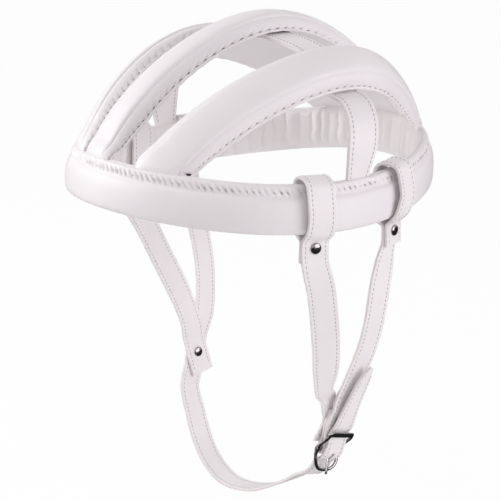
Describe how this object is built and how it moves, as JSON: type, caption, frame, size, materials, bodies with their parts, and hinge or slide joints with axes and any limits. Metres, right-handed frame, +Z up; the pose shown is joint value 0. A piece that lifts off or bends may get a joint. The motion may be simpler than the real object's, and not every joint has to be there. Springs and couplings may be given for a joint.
{
  "type": "leather strip cycling helmet",
  "caption": "Padded leather head band with crown strips, a cross strap and a stitched chin harness that closes with a small buckle.",
  "frame": {"origin": "centre of the head opening, in the mean plane of the band's bottom edge", "axes": "+Z up over the crown, -Y the brow, +X the wearer's left"},
  "size_m": [0.2094, 0.2267, 0.3079],
  "materials": {
    "white_leather": "smooth white hide with a soft sheen",
    "lining_leather": "gathered matte white lining",
    "padding": "felt and wadding, hidden",
    "strap_leather": "smooth white strap leather, stitched",
    "dark_chrome": "polished dark nickel",
    "bright_chrome": "polished nickel"
  },
  "bodies": {
    "headgear": {"band_cover": "white_leather", "band_padding": "padding", "band_lining": "lining_leather", "centre_strip_cover": "white_leather", "centre_strip_padding": "padding", "centre_strip_lining": "lining_leather", "left_strip_cover": "white_leather", "left_strip_padding": "padding", "left_strip_lining": "lining_leather", "right_strip_cover": "white_leather", "right_strip_padding": "padding", "right_strip_lining": "lining_leather", "cross_strap_face": "strap_leather", "cross_strap_backing": "lining_leather"},
    "harness": {"left_rear_strap": "strap_leather", "chin_strap": "strap_leather", "left_rear_rivet": "dark_chrome", "right_rear_rivet": "dark_chrome", "left_joint_rivet": "dark_chrome", "right_joint_rivet": "dark_chrome"},
    "left_front": {"left_front_strap": "strap_leather", "left_front_rivet": "dark_chrome"},
    "right_front": {"right_front_strap": "strap_leather", "right_front_rivet": "dark_chrome"},
    "buckle": {"buckle_frame": "dark_chrome", "buckle_bar": "dark_chrome"},
    "tongue": {"buckle_tongue": "bright_chrome"}
  },
  "joints": [
    {"name": "harness_swing", "type": "hinge", "parent": "headgear", "child": "harness", "pos_m": [0, -0.004, 0.013], "axis": [1, 0, 0], "range_deg": [-1.1, 1.1]},
    {"name": "left_front_slide_round", "type": "hinge", "parent": "harness", "child": "left_front", "pos_m": [0.07873, 0.00052, -0.12287], "axis": [0.9481, 0.0053, -0.3178], "range_deg": [-0.8, 1.2]},
    {"name": "right_front_slide_round", "type": "hinge", "parent": "harness", "child": "right_front", "pos_m": [-0.086, 0.01699, -0.132], "axis": [0.9902, 0.0407, 0.1335], "range_deg": [-0.7, 1.1]},
    {"name": "buckle_tilt", "type": "hinge", "parent": "harness", "child": "buckle", "pos_m": [0.072, -0.002, -0.143], "axis": [-0.1006, 0.9534, -0.2843], "range_deg": [-3, 3]},
    {"name": "tongue_turn", "type": "hinge", "parent": "buckle", "child": "tongue", "pos_m": [0.072, -0.002, -0.143], "axis": [0.1006, -0.9534, 0.2843], "range_deg": [0, 35]}
  ]
}
